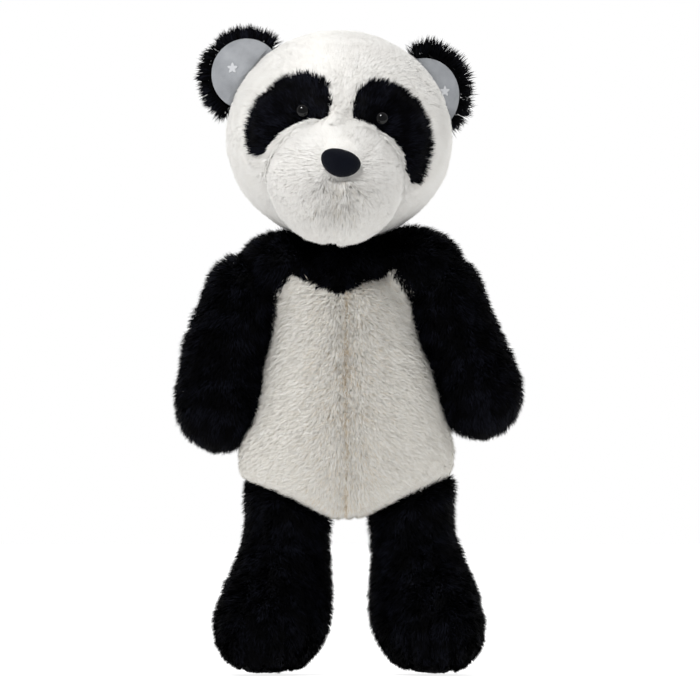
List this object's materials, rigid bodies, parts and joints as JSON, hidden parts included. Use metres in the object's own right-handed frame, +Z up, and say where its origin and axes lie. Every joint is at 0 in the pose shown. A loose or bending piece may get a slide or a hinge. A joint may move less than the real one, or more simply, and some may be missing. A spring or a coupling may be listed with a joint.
{
  "type": "plush panda",
  "caption": "Soft stuffed panda with round ears, long arms and short legs, standing; head, arms, legs and ears move at their seams.",
  "frame": {"origin": "on the surface it stands on, under the middle of its box", "axes": "+Z up through the head, the face looks along -Y, +X is the toy's own left"},
  "size_m": [0.1991, 0.1472, 0.3742],
  "materials": {
    "black_plush": "matte",
    "white_plush": "matte",
    "belly_plush": "matte",
    "ear_satin": "satin",
    "nose_fabric": "satin",
    "eye_plastic": "gloss",
    "washer_plastic": "matte",
    "fibre_fill": "matte",
    "seam_thread": "matte",
    "label_ribbon": "satin"
  },
  "bodies": {
    "torso": {"back_panel_left": "belly_plush", "back_panel_right": "belly_plush", "back_yoke": "black_plush", "belly_panel_left": "belly_plush", "belly_panel_right": "belly_plush", "care_label": "label_ribbon", "chest_yoke": "black_plush", "tail": "belly_plush", "torso_stuffing": "fibre_fill"},
    "neck": {"neck_cover": "black_plush", "neck_stuffing": "fibre_fill"},
    "neck_top": {"neck_seam": "seam_thread"},
    "head": {"cheek_panel_left": "white_plush", "cheek_panel_right": "white_plush", "eye_left": "eye_plastic", "eye_patch_left": "black_plush", "eye_patch_right": "black_plush", "eye_right": "eye_plastic", "eye_washer_left": "washer_plastic", "eye_washer_right": "washer_plastic", "forehead_panel": "white_plush", "head_back_left": "white_plush", "head_back_right": "white_plush", "head_stuffing": "fibre_fill", "muzzle_side_left": "white_plush", "muzzle_side_right": "white_plush", "muzzle_stuffing": "fibre_fill", "muzzle_top_panel": "white_plush", "nose": "nose_fabric"},
    "ear_right": {"ear_back_right": "black_plush", "ear_lining_right": "ear_satin"},
    "ear_left": {"ear_back_left": "black_plush", "ear_lining_left": "ear_satin"},
    "shoulder_right": {"shoulder_stuffing_right": "fibre_fill"},
    "arm_right": {"arm_back_right": "black_plush", "arm_front_right": "black_plush", "arm_stuffing_right": "fibre_fill"},
    "shoulder_left": {"shoulder_stuffing_left": "fibre_fill"},
    "arm_left": {"arm_back_left": "black_plush", "arm_front_left": "black_plush", "arm_stuffing_left": "fibre_fill"},
    "hip_right": {"hip_stuffing_right": "fibre_fill"},
    "leg_right": {"leg_inner_right": "black_plush", "leg_outer_right": "black_plush", "leg_stuffing_right": "fibre_fill", "sole_right": "black_plush"},
    "hip_left": {"hip_stuffing_left": "fibre_fill"},
    "leg_left": {"leg_inner_left": "black_plush", "leg_outer_left": "black_plush", "leg_stuffing_left": "fibre_fill", "sole_left": "black_plush"}
  },
  "joints": [
    {"name": "neck_turn", "type": "hinge", "parent": "torso", "child": "neck", "pos_m": [-0.00416, 0.00938, 0.222], "axis": [0, 0, 1], "range_deg": [-40, 40]},
    {"name": "neck_nod", "type": "hinge", "parent": "neck", "child": "neck_top", "pos_m": [-0.00416, 0.00938, 0.222], "axis": [1, 0, 0], "range_deg": [-18, 10]},
    {"name": "neck_tilt", "type": "hinge", "parent": "neck_top", "child": "head", "pos_m": [-0.00416, 0.00938, 0.222], "axis": [0, 1, 0], "range_deg": [-12, 12]},
    {"name": "shoulder_swing_right", "type": "hinge", "parent": "torso", "child": "shoulder_right", "pos_m": [-0.05996, 0.00738, 0.221], "axis": [-0.9759, 0, 0.2181], "range_deg": [-40, 75]},
    {"name": "shoulder_raise_right", "type": "hinge", "parent": "shoulder_right", "child": "arm_right", "pos_m": [-0.05996, 0.00738, 0.221], "axis": [0, 1, 0], "range_deg": [0, 80]},
    {"name": "shoulder_swing_left", "type": "hinge", "parent": "torso", "child": "shoulder_left", "pos_m": [0.05484, 0.00738, 0.221], "axis": [-0.9489, 0, -0.3156], "range_deg": [-40, 75]},
    {"name": "shoulder_raise_left", "type": "hinge", "parent": "shoulder_left", "child": "arm_left", "pos_m": [0.05484, 0.00738, 0.221], "axis": [0, -1, 0], "range_deg": [0, 80]},
    {"name": "hip_twist_right", "type": "hinge", "parent": "torso", "child": "hip_right", "pos_m": [-0.03566, 0.00938, 0.1045], "axis": [-0.3987, 0, -0.9171], "range_deg": [-5, 35]},
    {"name": "hip_flex_right", "type": "hinge", "parent": "hip_right", "child": "leg_right", "pos_m": [-0.03566, -0.02162, 0.0885], "axis": [-1, 0, 0], "range_deg": [0, 85]},
    {"name": "hip_twist_left", "type": "hinge", "parent": "torso", "child": "hip_left", "pos_m": [0.03334, 0.00938, 0.1045], "axis": [-0.3987, 0, 0.9171], "range_deg": [-5, 35]},
    {"name": "hip_flex_left", "type": "hinge", "parent": "hip_left", "child": "leg_left", "pos_m": [0.03334, -0.02162, 0.0885], "axis": [-1, 0, 0], "range_deg": [0, 85]},
    {"name": "ear_fold_right", "type": "hinge", "parent": "head", "child": "ear_right", "pos_m": [-0.05843, 0.00938, 0.34718], "axis": [0.5511, 0, 0.8344], "range_deg": [-15, 15], "stiffness_Nm_per_rad": 0.01},
    {"name": "ear_fold_left", "type": "hinge", "parent": "head", "child": "ear_left", "pos_m": [0.04956, 0.01838, 0.34167], "axis": [0.4767, 0, -0.8791], "range_deg": [-15, 15], "stiffness_Nm_per_rad": 0.01}
  ]
}
